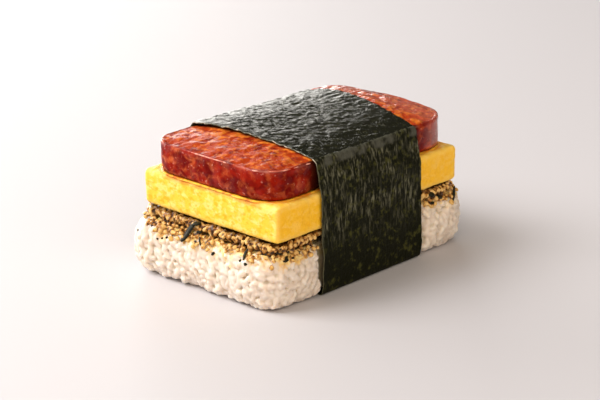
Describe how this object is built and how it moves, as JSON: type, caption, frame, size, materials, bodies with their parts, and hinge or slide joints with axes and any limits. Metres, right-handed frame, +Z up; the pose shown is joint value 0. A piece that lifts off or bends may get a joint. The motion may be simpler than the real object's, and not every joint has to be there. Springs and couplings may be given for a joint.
{
  "type": "egg and luncheon meat musubi",
  "caption": "Hand-held block of pressed rice with a dark seasoned top, a slab of rolled egg and a glazed slice of luncheon meat, wrapped in a band of dried seaweed.",
  "frame": {"origin": "centre of the underside, where the block rests", "axes": "+X along the block's length, +Y across it, +Z up from the rice to the seaweed over the meat"},
  "size_m": [0.1005, 0.0666, 0.0503],
  "materials": {
    "rice": "moist cooked grains, softly glossy",
    "seasoning": "dark soy-stained flakes and toasted grains",
    "egg": "soft satin cooked egg",
    "meat": "glazed and browned",
    "seaweed": "dry crinkled sheet with a faint sheen"
  },
  "bodies": {
    "root": {"rice": "rice", "seasoning": "seasoning", "egg": "egg", "meat": "meat", "seaweed_band": "seaweed"}
  },
  "joints": []
}
